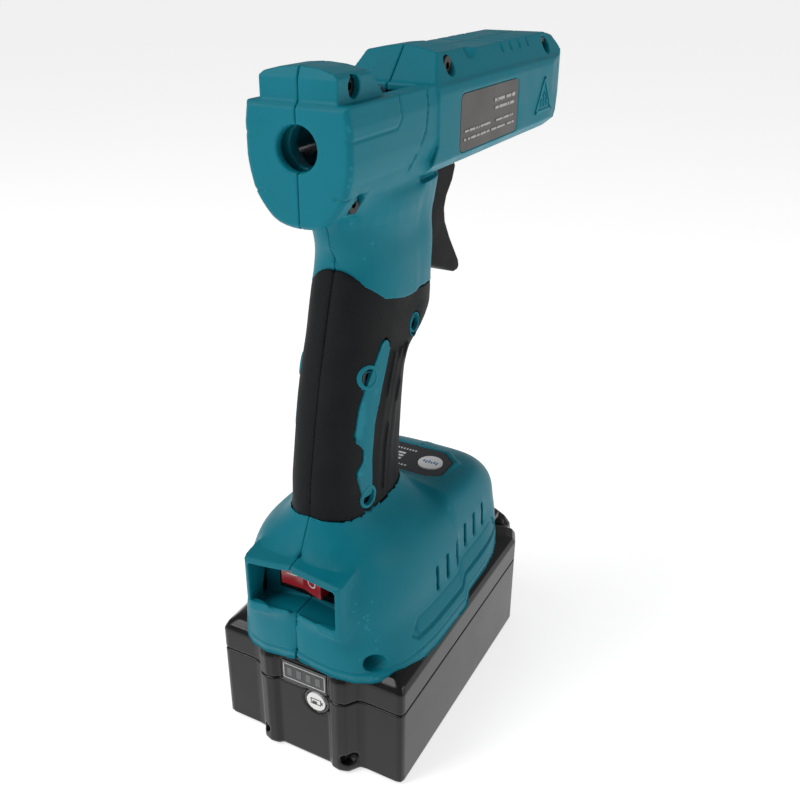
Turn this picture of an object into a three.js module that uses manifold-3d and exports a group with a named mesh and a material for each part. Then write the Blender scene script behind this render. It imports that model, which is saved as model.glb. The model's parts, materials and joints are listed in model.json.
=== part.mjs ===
// Cordless hot-melt glue gun with a slide-on battery. Millimetres, +X forward, +Y left, +Z up.
// The origin is on the ground under the middle of the battery's width.
import * as THREE from 'three';
import { mergeVertices } from 'three/addons/utils/BufferGeometryUtils.js';
import Module from 'manifold-3d';

const wasm = await Module();
wasm.setup();

// ---- general ----
const GAP = 0.3;             // between pieces that touch
const WALL = 2.4;            // housing wall
const SKIN = 2.2;            // rubber grip skin
const RUN = 0.1;             // running clearance of pins
const STICK_R = 5.6;         // glue stick
const FEED_Z = 206;          // height of the stick's axis
const BIG = 400;

// ---- battery ----
const BAT_HALF = 35.6;
const BAT_REAR = -52;
const BAT_FRONT = 54;
const BAT_BUMP = 5;
const BAT_SEAM = 31;
const BAT_SIDE = 39.4;
const BAT_DECK = 44;
const BAT_WALL = 2;
const RAIL_HALF = 24.4;
const RAIL_LIP = 2.8;
const RAIL_TOP = 51;
const RAIL_FRONT = 47;
const RAIL_REAR = -34;
const CHECK_R = 3.6;             // charge-check button
const CHECK_Y = -5;
const CHECK_Z = 27;
const CHECK_TRAVEL = 0.4;
const CELL_R = 9.2;
const CELL_LEN = 65;
const CELL_PITCH = 19;
const CELLS_IN_ROW = 5;

// ---- foot of the housing ----
const FOOT_Z = 45.3;
const FOOT_HALF = 35.8;
const FOOT_REAR = -59;
const FOOT_FRONT = 48.4;
const FOOT_STEP_Z = 59;
const NOSE_REAR = -60;
const NOSE_HALF = 17.8;
const NOSE_TOP = 83.6;
const NOSE_LOW = 62.6;
const SWITCH_HALF = 15.6;
const SWITCH_LOW = 66.4;
const SWITCH_HIGH = 81.2;
const SWITCH_WALL_X = -47;
const PANEL_X = 17.4;
const PANEL_LEN = 19;
const PANEL_HALF = 17.6;
const PANEL_Z = 82.2;
const BUTTON_R = 4.6;
const BUTTON_Y = -10.4;

// ---- grip and neck ----
const GRIP_HALF = 13.4;
const GRIP_LOW_Z = 94.5;
const GRIP_REAR_Z = 172;
const NECK_FRONT = 17;
const TRIGGER_TOP_Z = 150;

// ---- head and barrel ----
const HEAD_REAR = -46;
const HEAD_BOTTOM = 184.6;
const HEAD_HALF = 16.5;
const BLOCK_HALF = 11.9;
const RIM_Z = 217.5;
const TOP_Z = 226.4;
const CROWN_Z = 227.2;
const TOP_STEP = 1.8;           // the barrel's top drops this much ahead of its notch
const BARREL_HALF = 17;
const BARREL_BOTTOM = 189;
const BARREL_FRONT = 121;
const TROUGH_HALF = 10;
const TROUGH_REAR = -19;
const TROUGH_FRONT = 3;
const PLATE_X = 44;
const PLATE_LEN = 48;
const PLATE_Z = 204.2;
const PLATE_H = 17.6;
const PLATE_T = 0.8;

// ---- screws ----
const SCREW_SHANK_R = 1.3;
const SCREW_HEAD_R = 2.7;
const SCREW_HEAD_T = 2;
const BOSS_R = 3.6;

// ---- trigger and feed ----
const TRIG_X = 24;
const TRIG_Z = 192.6;
const TRIG_HALF = 7;
const PIN_R = 1.6;
const LINK_X = 14;
const LINK_Z = 167;
const LEVER_X = -8;
const LEVER_Z = 183;
const LEVER_TIP_Z = 196.3;
const LEVER_HALF = 2.2;
const CARRIAGE_REAR = -14.5;
const CARRIAGE_FRONT = -1.5;
const ROD_Y = 9.2;
const ROD_Z = 202;
const ROD_R = 1.5;

// ---- heating ----
const CHAMBER_REAR = 34;
const CHAMBER_FRONT = 106;
const CHAMBER_R = 9;
const NOZZLE_TIP = 143;

// ---------- solids ----------
const v2 = (points) => points.map(([x, y]) => new THREE.Vector2(x, y));
const mirrored = (points) => [...points, ...points.filter(([u]) => u !== 0).map(([u, v]) => [-u,
  v]).reverse()];

function solid(geometry) {
  const bare = new THREE.BufferGeometry();
  bare.setAttribute('position', geometry.attributes.position);
  if (geometry.index) bare.setIndex(geometry.index);
  const merged = mergeVertices(bare, 1e-4);
  const mesh = new wasm.Mesh({
    numProp: 3,
    vertProperties: new Float32Array(merged.attributes.position.array),
    triVerts: new Uint32Array(merged.index.array),
  });
  return new wasm.Manifold(mesh);
}

function prism(points, depth, bevel = 0, holes = []) {
  const shape = new THREE.Shape(v2(points));
  for (const hole of holes) shape.holes.push(new THREE.Path(v2(hole)));
  return new THREE.ExtrudeGeometry(shape, {
    depth: depth - 2 * bevel,
    steps: 1,
    curveSegments: 8,
    bevelEnabled: bevel > 0,
    bevelSegments: 1,
    bevelThickness: bevel,
    bevelSize: bevel,
    bevelOffset: -bevel,
  }).translate(0, 0, bevel);
}

// Profiles are (y, z) along X, (x, z) along Y and (x, y) along Z.
function alongX(points, x0, x1, bevel = 0) {
  const g = prism(points, x1 - x0, bevel);
  g.applyMatrix4(new THREE.Matrix4().set(0, 0, 1, x0, 1, 0, 0, 0, 0, 1, 0, 0, 0, 0, 0, 1));
  return solid(g);
}

function alongY(points, y0, y1, bevel = 0) {
  const g = prism(points, y1 - y0, bevel);
  g.applyMatrix4(new THREE.Matrix4().set(1, 0, 0, 0, 0, 0, -1, y1, 0, 1, 0, 0, 0, 0, 0, 1));
  return solid(g);
}

const alongZ = (points, z0, z1, bevel = 0) => solid(prism(points, z1 - z0, bevel).translate(0, 0, z0));

function box(x0, x1, y0, y1, z0, z1) {
  const g = new THREE.BoxGeometry(x1 - x0, y1 - y0, z1 - z0);
  return solid(g.translate((x0 + x1) / 2, (y0 + y1) / 2, (z0 + z1) / 2));
}

// A rectangle about (cx, cy) with cut corners.
function plate(length, height, corner, cx, cy) {
  const [u, v] = [length / 2, height / 2];
  return mirrored([[0, -v], [u - corner, -v], [u - corner / 4, -v + corner / 4], [u, -v + corner],
    [u, v - corner],
    [u - corner / 4, v - corner / 4], [u - corner, v], [0, v]]).map(([x, y]) => [x + cx, y + cy]);
}

function circle(r, cx = 0, cy = 0, segments = 20) {
  const points = [];
  for (let i = 0; i < segments; i += 1) {
    const a = (2 * Math.PI * (i + 0.5)) / segments;
    points.push([cx + r * Math.cos(a), cy + r * Math.sin(a)]);
  }
  return points;
}

const rodX = (r, x0, x1, y, z, segments = 16) => alongX(circle(r, y, z, segments), x0, x1);
const rodY = (r, y0, y1, x, z, segments = 16) => alongY(circle(r, x, z, segments), y0, y1);
const rodZ = (r, z0, z1, x, y, segments = 16) => alongZ(circle(r, x, y, segments), z0, z1);

// A turned shape about the stick's axis: (distance along X, radius) from rear to front.
function turned(points, segments = 20) {
  const g = new THREE.LatheGeometry(v2(points.map(([x, r]) => [r, x])), segments);
  g.rotateZ(-Math.PI / 2);
  g.translate(0, 0, FEED_Z);
  const made = solid(g);
  return made.volume() < 0 ? solid(flipped(g)) : made;
}

function flipped(geometry) {
  const index = Array.from(geometry.index.array);
  for (let i = 0; i < index.length; i += 3) [index[i], index[i + 1]] = [index[i + 1], index[i]];
  geometry.setIndex(index);
  return geometry;
}

const all = (parts) => parts.reduce((sum, part) => sum.add(part));
const both = (make) => make(1).add(make(-1));

// Joins level outlines, each {z, points} and running anticlockwise, into one closed shape.
function stack(levels) {
  const count = levels[0].points.length;
  const position = [];
  for (const level of levels) for (const [x, y] of level.points) position.push(x, y, level.z);
  const index = [];
  for (let k = 0; k + 1 < levels.length; k += 1) {
    for (let i = 0; i < count; i += 1) {
      const a = k * count + i;
      const b = k * count + ((i + 1) % count);
      index.push(a, b, b + count, a, b + count, a + count);
    }
  }
  const last = (levels.length - 1) * count;
  for (const [a, b, c] of THREE.ShapeUtils.triangulateShape(v2(levels[0].points), [])) index.push(c, b, a);
  for (const [a, b, c] of THREE.ShapeUtils.triangulateShape(v2(levels.at(-1).points), [])) {
    index.push(last + a, last + b, last + c);
  }
  const g = new THREE.BufferGeometry();
  g.setAttribute('position', new THREE.Float32BufferAttribute(position, 3));
  g.setIndex(index);
  return solid(g);
}

// A rounded outline from rear to front with the given half width; a higher power is squarer.
function oval(rear, front, half, power = 2.5, segments = 36, frontPower = power) {
  const points = [];
  const bend = (c, n) => Math.sign(c) * Math.abs(c) ** (2 / n);
  for (let i = 0; i < segments; i += 1) {
    const a = (2 * Math.PI * i) / segments;
    const n = Math.cos(a) > 0 ? frontPower : power;
    points.push([
      (rear + front) / 2 + ((front - rear) / 2) * bend(Math.cos(a), n),
      half * bend(Math.sin(a), n),
    ]);
  }
  return points;
}

// Straight-line reading of a size between named heights.
function reading(stops) {
  return (z) => {
    let k = 0;
    while (k + 2 < stops.length && z > stops[k + 1][0]) k += 1;
    const [[z0, s0], [z1, s1]] = [stops[k], stops[k + 1]];
    return s0 + ((s1 - s0) * (z - z0)) / (z1 - z0);
  };
}

// ---------- battery ----------
function batteryOutline(inset) {
  const side = BAT_HALF - inset;
  const rear = BAT_REAR + inset;
  const bump = rear - BAT_BUMP;
  const front = BAT_FRONT - inset;
  const r = 6;
  const right = [
    [bump + 1.6, -9.9], [bump + 0.4, -11.2], [bump, -13.9], [bump + 0.9, -16.8], [rear - 0.4, -19.4],
    [rear, -21.9], [rear, -side + 1.8], [rear + 0.5, -side + 0.5], [rear + 1.8, -side],
    [front - 1.4 * r, -side], [front - 0.4 * r, -side + 0.4 * r], [front, -side + 1.4 * r],
  ];
  return [...right, ...right.map(([x, y]) => [x, -y]).reverse()];
}

function batteryCase() {
  const outer = stack([
    { z: 0, points: batteryOutline(1.2) },
    { z: 1.4, points: batteryOutline(0) },
    { z: BAT_SEAM - GAP / 2, points: batteryOutline(0) },
  ]);
  const inner = box(BAT_REAR + BAT_WALL, BAT_FRONT - BAT_WALL, -BAT_HALF + BAT_WALL, BAT_HALF - BAT_WALL,
    2.2, BIG);
  const notches = [-1, 1].map((s) => rodY(2.6, s * 16.8 - 2.4, s * 16.8 + 2.4, BAT_REAR - 2.6, 6.2, 12));
  return outer.subtract(inner).subtract(all(notches)).subtract(chargeRecess());
}

// The window in the rear face that the charge label and its round button sit in.
function chargeRecess(clear = 0) {
  const x0 = BAT_REAR - BAT_BUMP - 1;
  const deep = BAT_REAR - BAT_BUMP + 2.6;
  const window = box(x0, deep, -9.3 - clear, 8.7 + clear, BAT_SEAM - 0.4 - clear, BAT_SIDE + 0.4 + clear);
  return window.add(rodX(5.1 + clear, x0, deep, CHECK_Y, CHECK_Z, 24))
    .add(rodX(CHECK_R + 0.5, x0, deep + CHECK_TRAVEL + 0.2, CHECK_Y, CHECK_Z, 20));
}

function batteryRails() {
  const section = mirrored([
    [RAIL_HALF - 5, BAT_DECK - 1], [RAIL_HALF, BAT_DECK - 1], [RAIL_HALF, RAIL_TOP - 3.2],
    [RAIL_HALF + RAIL_LIP, RAIL_TOP - 3.2], [RAIL_HALF + RAIL_LIP, RAIL_TOP - 0.6],
    [RAIL_HALF + RAIL_LIP - 0.6, RAIL_TOP], [RAIL_HALF - 5, RAIL_TOP],
  ]);
  const right = section.filter(([y]) => y < 0);
  const left = section.filter(([y]) => y > 0);
  const rails = [right, left].map((s) => alongX(s, RAIL_REAR, RAIL_FRONT + 0.2));
  const plinth = box(-28, LATCH_HOOK - 1, -RAIL_HALF + 4, RAIL_HALF - 4, BAT_DECK - 1, BAT_DECK + 4.6);
  return all([...rails, plinth]);
}

function batteryLid() {
  const outer = stack([
    { z: BAT_SEAM + GAP / 2, points: batteryOutline(0) },
    { z: BAT_SIDE, points: batteryOutline(0) },
    { z: BAT_SIDE + 2, points: batteryOutline(1) },
    { z: BAT_DECK - 1, points: batteryOutline(3) },
    { z: BAT_DECK, points: batteryOutline(5.6) },
  ]);
  const lumpRear = FOOT_FRONT + 0.8;
  const lump = stack([
    { z: BAT_SIDE - 3.4, points: oval(lumpRear, BAT_FRONT + 3, 30.4, 5, 28) },
    { z: BAT_DECK - 3, points: oval(lumpRear, BAT_FRONT + 3, 29.6, 5, 28) },
    { z: BAT_DECK, points: oval(lumpRear, BAT_FRONT + 2.6, 27.6, 4, 28) },
    { z: BAT_DECK + 2.6, points: oval(lumpRear, BAT_FRONT + 1.4, 24, 4, 28) },
  ]);
  const inner = box(BAT_REAR + BAT_WALL, BAT_FRONT - BAT_WALL, -BAT_HALF + BAT_WALL, BAT_HALF - BAT_WALL, 0,
    39.4);
  const upper = box(-46, 46, -30, 30, 39, BAT_DECK - 2);
  const bladeSlots = both((s) => box(-29, -4, s * 12 - 1.2, s * 12 + 1.2, BAT_DECK + 0.4, BIG));
  return outer.add(lump).add(batteryRails()).subtract(inner).subtract(upper)
    .subtract(bladeSlots).subtract(chargeRecess()).subtract(latchPocket());
}

const LATCH_HALF = 11;
const LATCH_REAR = BAT_FRONT - 3.6;
const STRIKE_REAR = FOOT_FRONT - 2.6;
const LATCH_HOOK = STRIKE_REAR - 2.8;
const LATCH_LOW = 33;
const LATCH_TOP = 48.9;
const LATCH_TRAVEL = 1.8;
const latchPocket = () => all([
  box(LATCH_REAR - GAP, BIG, -LATCH_HALF - GAP, LATCH_HALF + GAP, LATCH_LOW - LATCH_TRAVEL - GAP, BIG),
  box(LATCH_HOOK - GAP, BIG, -LATCH_HALF - GAP, LATCH_HALF + GAP, 42.4 - LATCH_TRAVEL - GAP, BIG),
]);

// The button in the pack's front face with its hook under the housing's strike bar.
function batteryLatch() {
  const profile = [
    [LATCH_REAR, LATCH_LOW], [BAT_FRONT + 0.4, LATCH_LOW], [BAT_FRONT + 3.2, LATCH_LOW + 3],
    [BAT_FRONT + 3.2, 43.4],
    [BAT_FRONT + 2, 44.9], [STRIKE_REAR - 0.4, 44.9], [STRIKE_REAR - 0.4, LATCH_TOP - 1],
    [STRIKE_REAR - 1.4, LATCH_TOP], [LATCH_HOOK, LATCH_TOP], [LATCH_HOOK, 42.4], [LATCH_REAR, 42.4],
  ];
  const grooves = [0, 1, 2].map((i) => box(BAT_FRONT + 2.5, BIG, -8, 8, 37 + 2.2 * i, 38 + 2.2 * i));
  return alongY(profile, -LATCH_HALF, LATCH_HALF).subtract(all(grooves));
}

function chargeLabel() {
  const x0 = BAT_REAR - BAT_BUMP + 1.8;
  const plate = box(x0, x0 + 0.6, -9, 8.4, BAT_SEAM - 0.1, BAT_SIDE + 0.1);
  const lobe = rodX(4.8, x0, x0 + 0.6, CHECK_Y, CHECK_Z);
  return plate.add(lobe).subtract(rodX(CHECK_R + 0.4, x0 - 1, x0 + 2, CHECK_Y, CHECK_Z));
}

const checkButton = () => rodX(CHECK_R, BAT_REAR - BAT_BUMP + 1.3, BAT_REAR - BAT_BUMP + 2.5,
  CHECK_Y, CHECK_Z);

function cells() {
  const made = [];
  for (let row = 0; row < 2; row += 1) {
    for (let i = 0; i < CELLS_IN_ROW; i += 1) {
      const x = (BAT_REAR + BAT_FRONT) / 2 + (i - (CELLS_IN_ROW - 1) / 2) * CELL_PITCH;
      const z = 2.3 + CELL_R + 2 * row * CELL_R;
      const can = rodY(CELL_R - 0.15, -CELL_LEN / 2, CELL_LEN / 2, x, z, 12);
      made.push(can.add(rodY(3, CELL_LEN / 2 - 1, CELL_LEN / 2 + 0.8, x, z, 6)));
    }
  }
  return made;
}

// ---------- housing: neck and grip ----------
const rearLine = reading([[86, -50], [94.4, -47.4], [104, -46.6], [122, -42.9], [139, -38.9], [156, -34],
  [172, -28.5],
  [176, -31.2], [182, -32.6], [190, -37]]);
const frontLine = reading([[86, -2.4], [94.4, -1.4], [108, -1.4], [122, 0.2], [132, 1.6], [138, 5.4],
  [144, 12.4],
  [148, NECK_FRONT - 0.6], [156, NECK_FRONT], [190, NECK_FRONT + 1]]);
const halfLine = reading([[86, GRIP_HALF - 0.2], [104, GRIP_HALF - 0.1], [122, GRIP_HALF - 0.1],
  [156, GRIP_HALF],
  [172, GRIP_HALF + 0.2], [176, GRIP_HALF - 0.8], [182, 13.4], [190, 15]]);

const gripLevels = [86, 94.4, 104, 122, 132, 138, 144, 148, 156, 172, 176, 182, 190];
const neckPower = (z) => (z > 174 && z < 188 ? 2.2 : 2.5);
const neckFrontPower = (z) => (z > 142 ? 4 : 2.5);
const gripBody = (inset, segments = 28) => stack(gripLevels.map((z) => ({
  z,
  points: oval(
    rearLine(z) + inset, frontLine(z) - inset, halfLine(z) - inset, neckPower(z), segments, neckFrontPower(z),
  ),
})));

// Side view of the area that the rubber covers; a positive clear shrinks it.
function skinArea(clear) {
  const top = TRIGGER_TOP_Z - clear;
  const profile = [
    [-70, GRIP_LOW_Z + clear], [-45, GRIP_LOW_Z - 0.6 + clear], [-40, 92.6 + clear], [-30, 90.4 + clear],
    [-20, 89.8 + clear], [30, 91.4 + clear], [30, top], [NECK_FRONT - 3.6 - clear, top],
    [NECK_FRONT - 4 - clear, 156 - clear], [-9.8, 157.6 - clear], [-20.5, 160.2 - clear],
    [-26.7, 165.2 - clear], [-29, 169.8 - clear], [-31, GRIP_REAR_Z + 1.4 - clear],
    [-70, GRIP_REAR_Z + 1.4 - clear],
  ];
  return alongY(profile, -40, 40);
}

// Teal strip that shows through the rubber on each side, seen from the side.
function inlayArea(clear) {
  const outline = [
    [-35.2 - clear, 97], [-30.6 + clear, 97], [-30.3 + clear, 110], [-28.3 + clear, 122],
    [-24.8 + clear, 132],
    [-18.8 + clear, 145 + clear], [-20.6, 147.2 + clear], [-23 - clear, 146.4 + clear],
    [-27.6 - clear, 140.2],
    [-32.1 - clear, 133.6], [-34.6 - clear, 128.5], [-37 - clear, 119.4], [-34.2 - clear, 115.9],
    [-34.5 - clear, 110.8], [-37.7 - clear, 107.6],
  ];
  return alongY(outline, -40, 40);
}

// Round bosses that stand around the three screws of the grip.
function gripRing(clear) {
  return all(screwSpots.slice(4, 7).map((spot) => rodY(3.7 + clear, -40, 40, spot.x, spot.z, 18)));
}

// ---------- housing: head and barrel ----------
function headOuter(inset = 0) {
  const section = mirrored([
    [0, HEAD_BOTTOM + inset], [8 - inset / 2, HEAD_BOTTOM + 1.6 + inset], [13.4 - inset, 192],
    [15.4 - inset, 197],
    [HEAD_HALF - inset, 203], [HEAD_HALF - inset, 212], [15.6 - inset, RIM_Z - inset], [0, RIM_Z - inset],
  ]);
  const lower = alongX(section, HEAD_REAR + inset, 12, inset ? 0 : 1.2);
  const blockSection = mirrored([
    [0, RIM_Z - 6], [BLOCK_HALF - inset, RIM_Z - 6], [BLOCK_HALF - inset, TOP_Z - 2.6 - inset],
    [BLOCK_HALF - 1.4 - inset, TOP_Z - 1.6 - inset], [6, TOP_Z - 0.5 - inset], [0, TOP_Z - inset],
  ]);
  const blockSide = [
    [HEAD_REAR + 1.6 + inset, RIM_Z - 6], [HEAD_REAR + 1.8 + inset, TOP_Z - 3],
    [HEAD_REAR + 3 + inset, TOP_Z],
    [-30 - inset, TOP_Z], [-18.6 - 1.4 * inset, RIM_Z - 1.4], [-18.6 - 1.4 * inset, RIM_Z - 6],
  ];
  const block = alongX(blockSection, HEAD_REAR + 1, 0).intersect(alongY(blockSide, -20, 20));
  return lower.add(block);
}

function barrelOuter(inset = 0) {
  const section = mirrored([
    [0, BARREL_BOTTOM + inset], [8, BARREL_BOTTOM + 0.6 + inset],
    [13.6 - inset, BARREL_BOTTOM + 2.6 + inset / 2],
    [BARREL_HALF - inset, 195], [BARREL_HALF - inset, 214.4], [BARREL_HALF - 0.5 - inset, 216.6],
    [BARREL_HALF - 1.6 - inset, 217.4], [BLOCK_HALF - inset, TOP_Z - 1 - inset], [6, CROWN_Z - 0.6 - inset],
    [0, CROWN_Z - inset],
  ]);
  const side = [
    [NECK_FRONT - 4, BARREL_BOTTOM - 1], [96 - inset, BARREL_BOTTOM], [105 - inset, 191.6 + inset / 2],
    [112 - inset, 196.6 + inset / 2], [117 - inset, 203], [BARREL_FRONT - inset, 209], [118.4 - inset, 214],
    [115.4 - inset, 220 - inset / 2], [111 - inset, 224 - inset], [104 - inset, CROWN_Z - TOP_STEP - inset],
    [37 - inset, CROWN_Z - TOP_STEP - 0.6 - inset], [33 - inset, CROWN_Z - TOP_STEP - 0.4 - inset],
    [29 - inset, CROWN_Z - inset], [14 + inset, CROWN_Z - inset], [4.4 + inset, RIM_Z - 0.6],
    [4.4 + inset, 200],
    [inset, 194], [inset, BARREL_BOTTOM - 1],
  ];
  const plan = mirrored([
    [0, 0], [BARREL_HALF + 1, 0], [BARREL_HALF + 1, 95], [BARREL_HALF - inset, 103], [16.2 - inset, 111],
    [14.8 - inset, 116.6 - inset], [12.4 - inset / 2, BARREL_FRONT - inset], [0, BARREL_FRONT - inset],
  ]).map(([y, x]) => [x, y]);
  return alongX(section, 0, BARREL_FRONT + 1).intersect(alongY(side, -20, 20))
    .intersect(alongZ(plan, 180, 240));
}

// ---------- housing: foot ----------
function footLevels(inset) {
  const level = (z, rear, front, half, power = 3.2, frontPower = 5) => ({
    z: z - (z > FOOT_STEP_Z + 1 ? inset : 0),
    points: oval(rear + inset, front - inset, half - inset, power, inset ? 20 : 32, frontPower),
  });
  return [
    level(FOOT_Z, FOOT_REAR, FOOT_FRONT, FOOT_HALF, 3.4, 3.6),
    level(49, FOOT_REAR, FOOT_FRONT, FOOT_HALF - 1.4, 3.4, 3.8),
    level(54, FOOT_REAR, FOOT_FRONT, FOOT_HALF - 2.9, 3.3, 4.2),
    level(FOOT_STEP_Z - 0.6, FOOT_REAR, FOOT_FRONT, FOOT_HALF - 3.9),
    level(FOOT_STEP_Z + 0.2, FOOT_REAR + 0.8, FOOT_FRONT - 0.8, FOOT_HALF - 4.8),
    level(70, -57.4, 46.4, 30.3, 3.4),
    level(75, -56.2, 43.6, 29.2, 3.4, 4.6),
    level(79, -55.2, 39.2, 27.8, 3.4, 4.4),
    level(81.4, -54.4, 32.6, 26.6, 3.3, 4.4),
    level(82.6, -54, 22, 25.8, 3.2, 4),
    level(84, -53.4, 5.4, 24.6, 3, 3),
    level(86, -52.4, 2.4, 22.6, 2.8, 2.8),
    level(88, -51.4, 0.6, 20.4, 2.7, 2.7),
    level(90, -50.2, -0.4, 17.8, 2.6, 2.6),
    level(92.4, -48.8, -1, 15, 2.5, 2.5),
    level(95, -47.6, -1.6, 13.2, 2.5, 2.5),
  ];
}

function nose(inset = 0) {
  const plan = mirrored([
    [0, NOSE_REAR + inset], [NOSE_HALF - 2.6 - inset / 2, NOSE_REAR + inset],
    [NOSE_HALF - 0.6 - inset, NOSE_REAR + 0.9 + inset],
    [NOSE_HALF - inset, NOSE_REAR + 3], [NOSE_HALF - inset, -34], [0, -34],
  ]).map(([y, x]) => [x, y]);
  const side = [
    [NOSE_REAR + 0.6, NOSE_LOW + inset], [-34, NOSE_LOW + inset], [-34, NOSE_TOP + 0.8 - inset],
    [-51, NOSE_TOP + 0.4 - inset], [NOSE_REAR + 1.4, NOSE_TOP - 0.9 - inset],
    [NOSE_REAR - 0.2, NOSE_TOP - 2.4 - inset], [NOSE_REAR - 0.2, NOSE_LOW + 1 + inset],
  ];
  return alongZ(plan, NOSE_LOW - 1, NOSE_TOP + 1).intersect(alongY(side, -30, 30));
}

function panelOutline(clear) {
  const x0 = PANEL_X - PANEL_LEN / 2 - clear;
  const x1 = PANEL_X + PANEL_LEN / 2 + clear;
  const end = PANEL_HALF + clear;
  return [
    [x0, -end + 4.6], [x0 + 3.6, -end], [x1 - 5.6, -end], [x1, -end + 6],
    [x1, end - 6], [x1 - 5.6, end], [x0 + 3.6, end], [x0, end - 4.6],
  ];
}

function footOuter() {
  const rim = alongZ(panelOutline(2), 76, PANEL_Z + 1.2, 0.8);
  return stack(footLevels(0)).add(nose()).add(rim);
}

function footInner() {
  const levels = footLevels(WALL);
  levels[0].z = FOOT_Z + WALL;
  return stack(levels).add(nose(WALL));
}

// ---------- housing ----------
const screwSpots = [
  { name: 'head_top', x: -36, z: 221.2, y: BLOCK_HALF - 0.2 },
  { name: 'head_low', x: -37, z: 191.2, y: 13.2 },
  { name: 'barrel_rear', x: 17.4, z: 221.4, y: 14.4 },
  { name: 'barrel_front', x: 102, z: 221, y: 13.8 },
  { name: 'grip_front', x: -2.6, z: 146, y: 13 },
  { name: 'grip_middle', x: -29.9, z: 137.1, y: 12.6 },
  { name: 'grip_low', x: -32.6, z: 97, y: 12.8 },
  { name: 'foot_rear', x: -50.6, z: 51.6, y: 23 },
];

// Screws enter from the right; the head sits this far in from the side.
const headSeat = (spot) => -spot.y + 3.4;

function screw(spot) {
  const seat = headSeat(spot);
  const head = rodY(SCREW_HEAD_R, seat - SCREW_HEAD_T, seat, spot.x, spot.z, 14);
  const socket = rodY(1.2, seat - SCREW_HEAD_T - 1, seat - 1, spot.x, spot.z, 6);
  return head.add(rodY(SCREW_SHANK_R, seat - 0.5, 9, spot.x, spot.z, 8)).subtract(socket);
}

function screwHoles(spot) {
  const seat = headSeat(spot);
  const well = rodY(SCREW_HEAD_R + 0.35, -BIG, seat + GAP, spot.x, spot.z, 14);
  return well.add(rodY(SCREW_SHANK_R + GAP, seat - 1, 9 + GAP, spot.x, spot.z, 8));
}

const boss = (spot) => rodY(BOSS_R, -spot.y - 4, spot.y, spot.x, spot.z, 12);

function housing() {
  const neck = gripBody(0);
  const core = gripBody(SKIN + GAP);
  const inlay = neck.intersect(inlayArea(-GAP));
  const ring = neck.intersect(gripRing(-GAP));
  const skinSpace = gripBody(-GAP).intersect(skinArea(0));
  const outer = all([headOuter(), barrelOuter(), footOuter(), neck]).subtract(skinSpace).add(core)
    .add(inlay).add(ring);
  const hollow = all([headOuter(WALL), barrelOuter(WALL), footInner(), gripBody(SKIN + GAP + 1.8, 16)]);
  const bosses = all(screwSpots.map(boss)).intersect(outer);
  const supports = all([rodSupports(), pinBosses(), chamberSeats(), switchWall(), footShelves()])
    .intersect(outer);
  return outer.subtract(hollow).add(bosses).add(supports).subtract(openings()).add(strikeBar());
}

// The bar inside the foot's front wall that the pack's hook comes up behind.
const strikeBar = () => box(STRIKE_REAR, FOOT_FRONT - 0.4, -LATCH_HALF, LATCH_HALF, LATCH_TOP + GAP,
  RAIL_TOP + 4);

// Ribs that hold the guide rods' ends.
function rodSupports() {
  const rear = box(-40, -36, -15, 15, 197, 215);
  const front = box(18, 20.4, -15, 15, 197.6, 214).subtract(box(17, 22, -8.6, 8.6, 190, 216));
  return rear.add(front);
}

// Side posts that carry the trigger's pin and the lever's pin.
const pinBosses = () => both((s) => all([
  rodY(3.4, s > 0 ? TRIG_HALF + 0.6 : -20, s > 0 ? 20 : -TRIG_HALF - 0.6, TRIG_X, TRIG_Z, 16),
  rodY(3.4, s > 0 ? 6 : -20, s > 0 ? 20 : -6, LEVER_X, LEVER_Z, 16),
]));

const chamberSeats = () => box(48.6, 51, -20, 20, 192, 220).add(box(98.6, 101, -20, 20, 190, 222));

// Shelves in the foot that carry the main board and the terminal block.
const footShelves = () => both((s) => box(-22, 22, s > 0 ? 17 : -31, s > 0 ? 31 : -17, 57.6, 59.7))
  .add(box(-50, -31, -26, 26, 57.3, 59));

const switchWall = () => box(SWITCH_WALL_X - 1, SWITCH_WALL_X + 1.4, -NOSE_HALF, NOSE_HALF, 60, NOSE_TOP)
  .add(box(NOSE_REAR, SWITCH_WALL_X, -NOSE_HALF, NOSE_HALF, SWITCH_LOW - 5, SWITCH_LOW - 3));

// A strip of the given width that follows a line of (x, z) points, through both sides.
function band(line, width) {
  const upper = [];
  const lower = [];
  line.forEach(([x, z], i) => {
    const [xa, za] = line[Math.max(i - 1, 0)];
    const [xb, zb] = line[Math.min(i + 1, line.length - 1)];
    const length = Math.hypot(xb - xa, zb - za);
    upper.push([x - (width * (zb - za)) / length / 2, z + (width * (xb - xa)) / length / 2]);
    lower.unshift([x + (width * (zb - za)) / length / 2, z - (width * (xb - xa)) / length / 2]);
  });
  return alongY([...upper, ...lower], -40, 40);
}

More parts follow.
